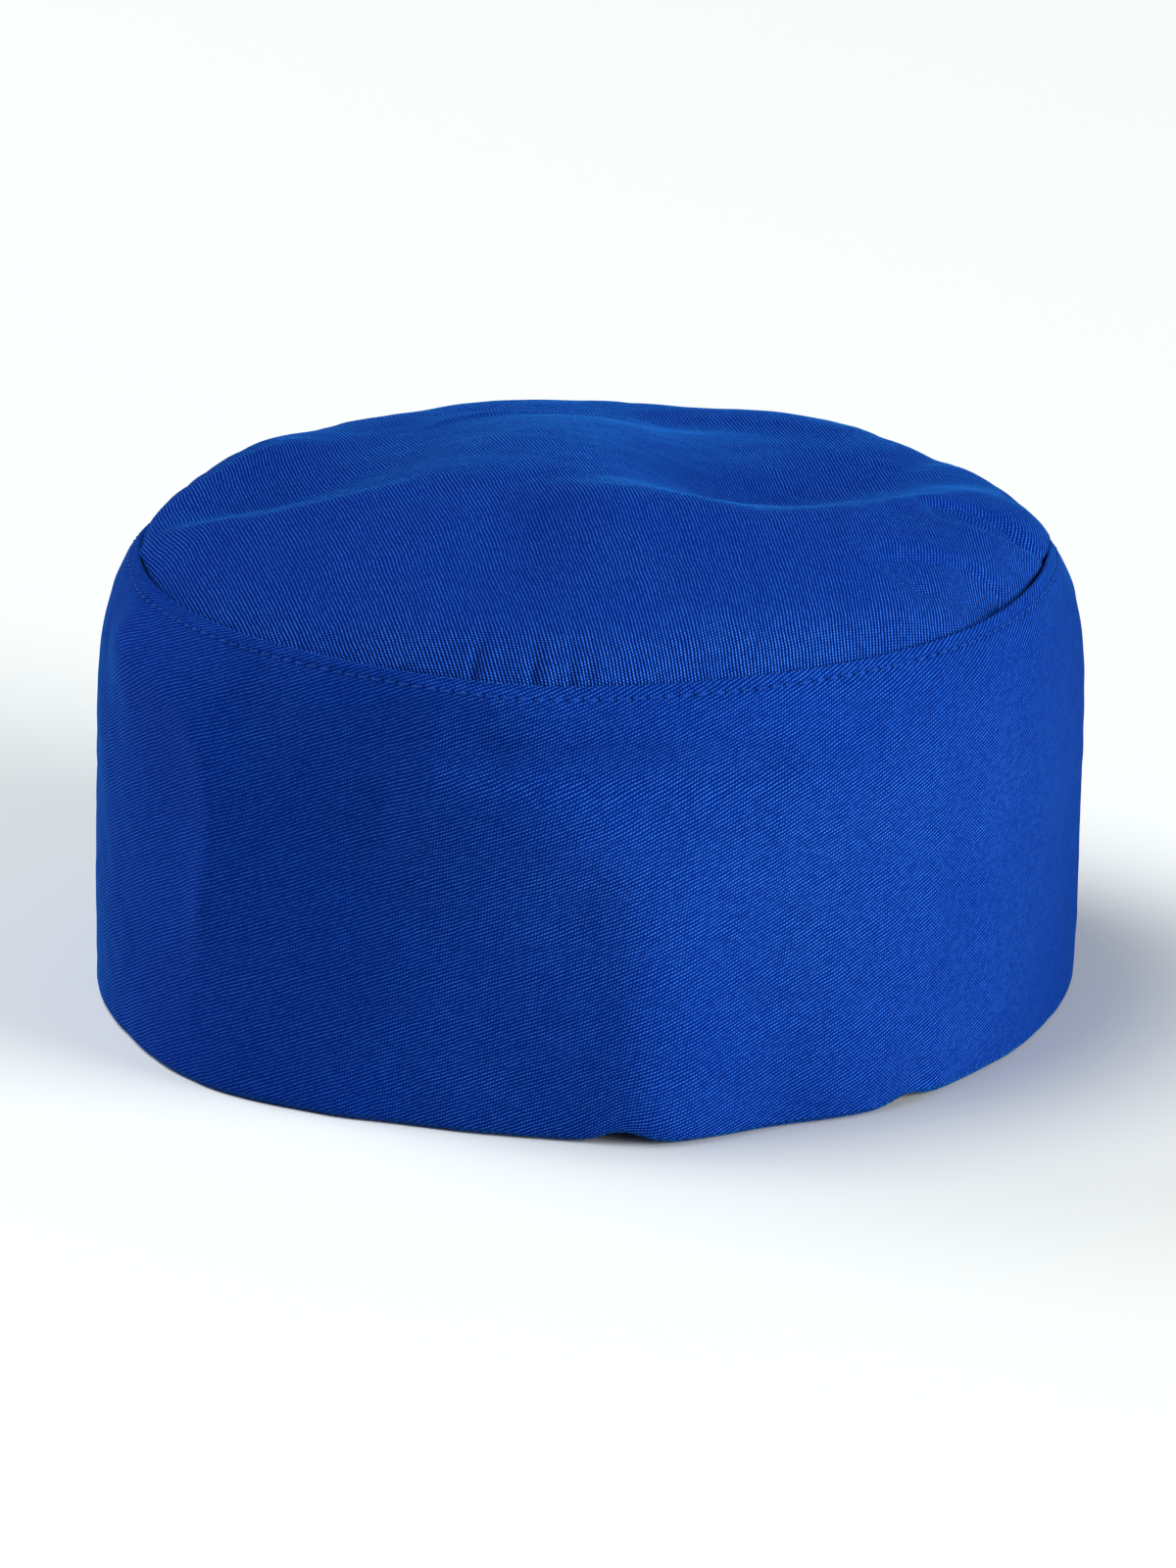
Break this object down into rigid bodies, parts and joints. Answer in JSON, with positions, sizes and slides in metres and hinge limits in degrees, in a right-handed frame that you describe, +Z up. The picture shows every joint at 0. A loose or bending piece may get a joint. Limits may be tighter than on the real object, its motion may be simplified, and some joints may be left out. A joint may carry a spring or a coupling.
{
  "type": "cook's skull cap",
  "caption": "Soft brimless kitchen cap: a tall doubled cloth band folded at the hem and a gathered, slightly collapsed cloth crown sewn inside its top edge.",
  "frame": {"origin": "on the surface that the cap stands on, under the middle of the head opening", "axes": "+Z up through the crown, -Y towards the front of the cap, +X to the right of someone who looks at its front"},
  "size_m": [0.1923, 0.1957, 0.1102],
  "materials": {
    "band_twill": "matte royal blue cotton and polyester twill, doubled, with a soft sheen at grazing angles",
    "crown_twill": "matte royal blue cotton and polyester twill, single, with a soft sheen at grazing angles"
  },
  "bodies": {
    "root": {"band": "band_twill", "crown": "crown_twill"}
  },
  "joints": []
}
